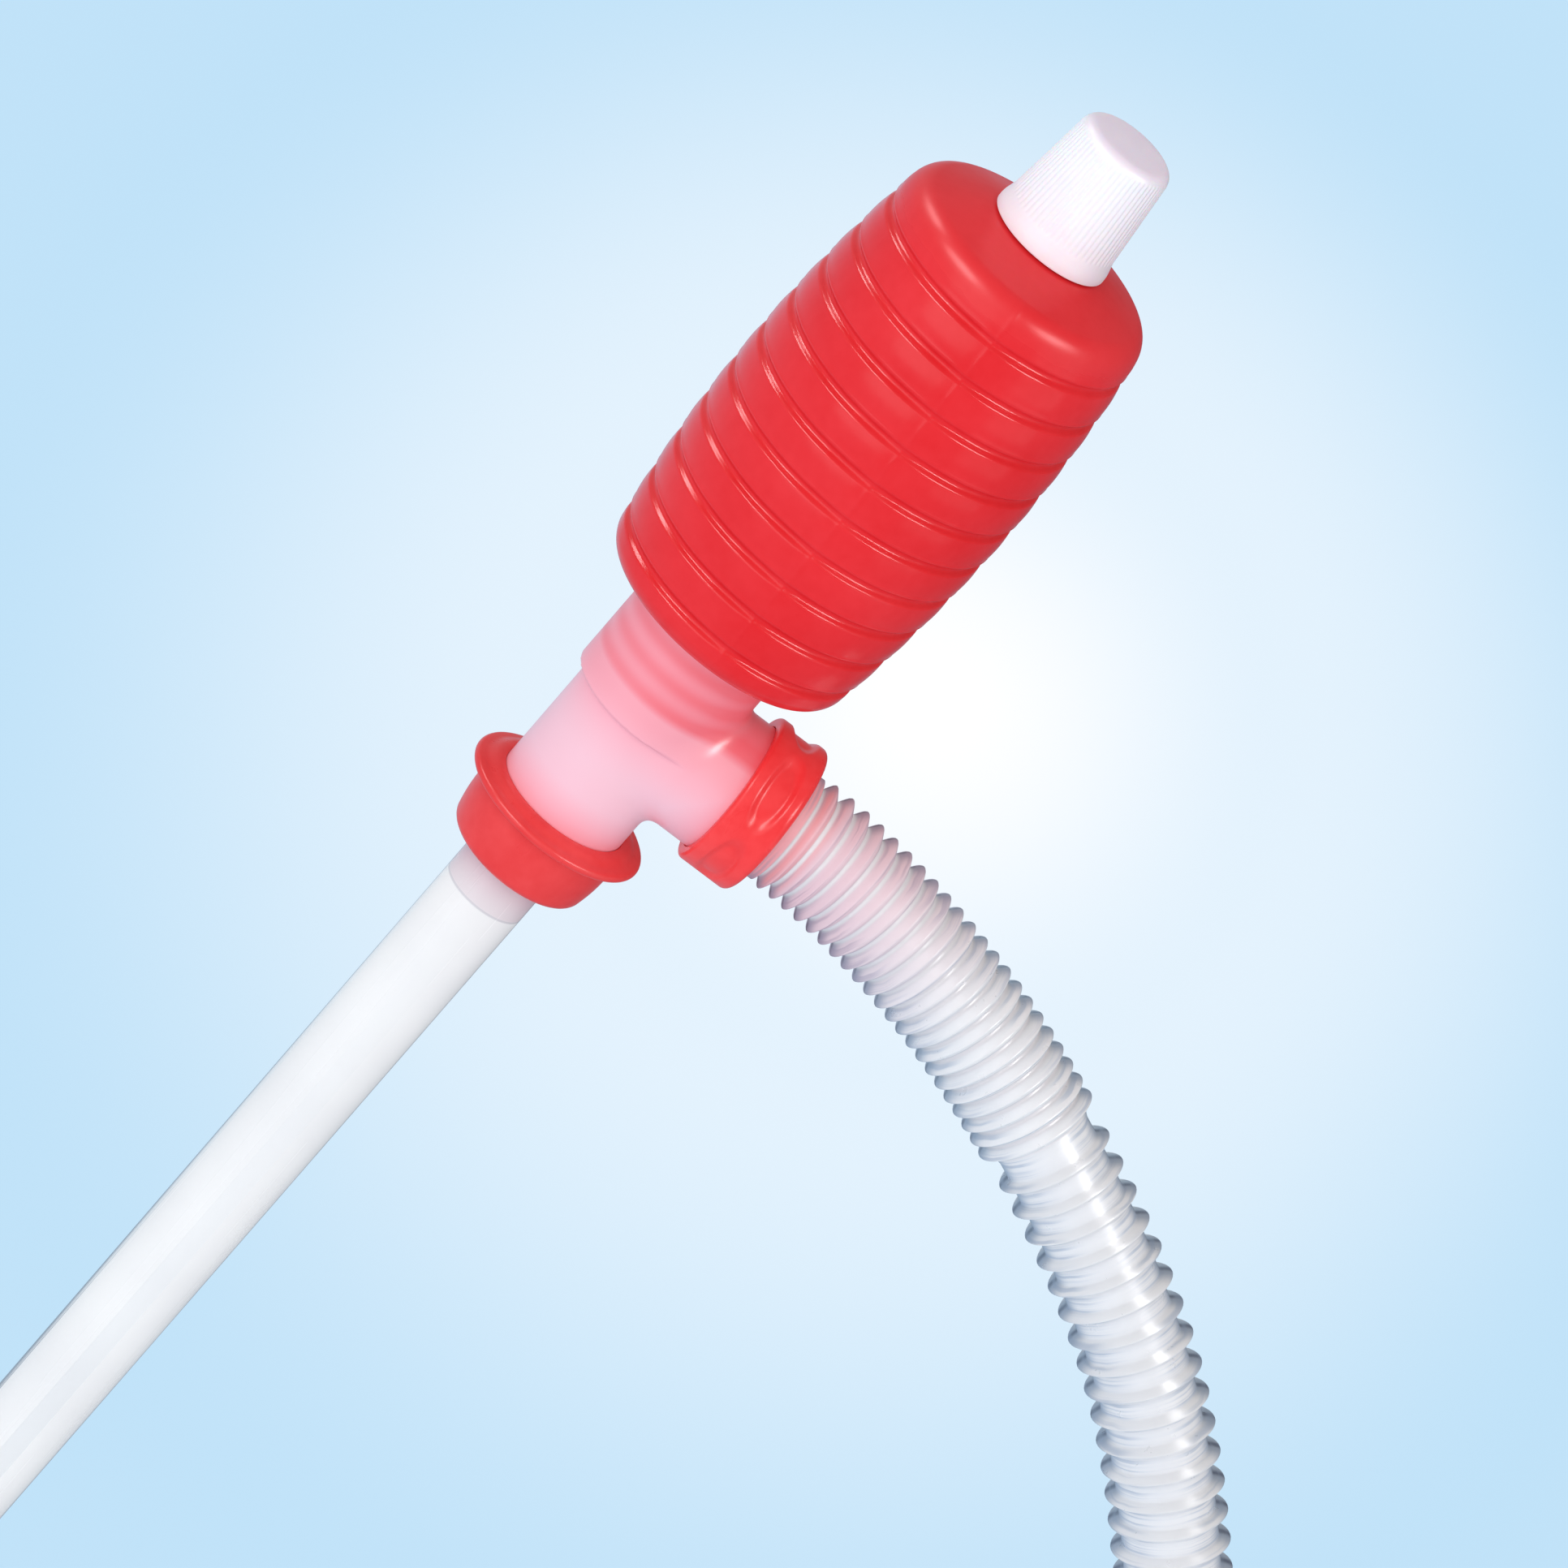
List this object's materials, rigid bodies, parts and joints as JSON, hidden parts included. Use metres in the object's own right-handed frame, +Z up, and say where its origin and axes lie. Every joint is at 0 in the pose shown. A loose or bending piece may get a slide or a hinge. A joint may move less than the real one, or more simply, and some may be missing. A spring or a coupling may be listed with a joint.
{
  "type": "hand siphon pump",
  "caption": "Hand siphon pump: ringed squeeze bulb with a vent cap on a tee with check valves, a stopper collar, a rigid intake pipe and a ribbed outlet hose held by a nut.",
  "frame": {"origin": "where the pump's axis crosses the underside of the collar's flange, which rests on the mouth of the tank", "axes": "+Z up along the pump's axis to the vent cap, +X along the branch towards the hose, the hose bends down in the XZ plane"},
  "size_m": [0.2764, 0.062, 0.5423],
  "materials": {
    "bulb_red": "soft glossy red polyethylene, blow moulded",
    "cap_white": "white polypropylene with fine grip ribs",
    "tee_pink": "translucent plastic that looks pink beside the red pieces",
    "fitting_red": "red moulded plastic, soft gloss",
    "pipe_milky": "milky white extruded plastic",
    "hose_clear": "clear corrugated plastic",
    "insert_natural": "natural moulded plastic",
    "seal_rubber": "soft grey seal"
  },
  "bodies": {
    "pump": {"tee_body": "tee_pink", "tank_collar": "fitting_red", "intake_pipe": "pipe_milky", "intake_valve_seat": "insert_natural", "intake_valve_cage": "insert_natural", "outlet_valve_seat": "insert_natural", "squeeze_bulb": "bulb_red"},
    "cap_liner": {"vent_cap_liner": "seal_rubber"},
    "cap": {"vent_cap": "cap_white"},
    "intake_disc": {"intake_valve_disc": "seal_rubber"},
    "outlet_flap": {"outlet_valve_flap": "seal_rubber"},
    "hose": {"outlet_hose": "hose_clear"},
    "nut": {"hose_nut": "fitting_red"}
  },
  "joints": [
    {"name": "vent_lift", "type": "slide", "parent": "pump", "child": "cap_liner", "axis": [0, 0, 1], "range_m": [0, 0.0045]},
    {"name": "vent_cap_turn", "type": "hinge", "parent": "cap_liner", "child": "cap", "pos_m": [0, 0, 0.1568], "axis": [0, 0, 1], "range_deg": [0, 540]},
    {"name": "intake_valve_lift", "type": "slide", "parent": "pump", "child": "intake_disc", "axis": [0, 0, 1], "range_m": [0, 0.003]},
    {"name": "outlet_flap_swing", "type": "hinge", "parent": "pump", "child": "outlet_flap", "pos_m": [0.0189, 0, 0.0359], "axis": [0, -1, 0], "range_deg": [0, 35]},
    {"name": "hose_draw", "type": "slide", "parent": "pump", "child": "hose", "axis": [1, 0, 0], "range_m": [0, 0.0045]},
    {"name": "hose_nut_turn", "type": "hinge", "parent": "hose", "child": "nut", "pos_m": [0.0228, 0, 0.0264], "axis": [1, 0, 0], "range_deg": [0, 540]}
  ],
  "couplings": [
    {"joint": "vent_cap_turn", "follows": "vent_lift", "rad_per_m": 2094.4},
    {"joint": "hose_nut_turn", "follows": "hose_draw", "rad_per_m": 2094.4}
  ]
}
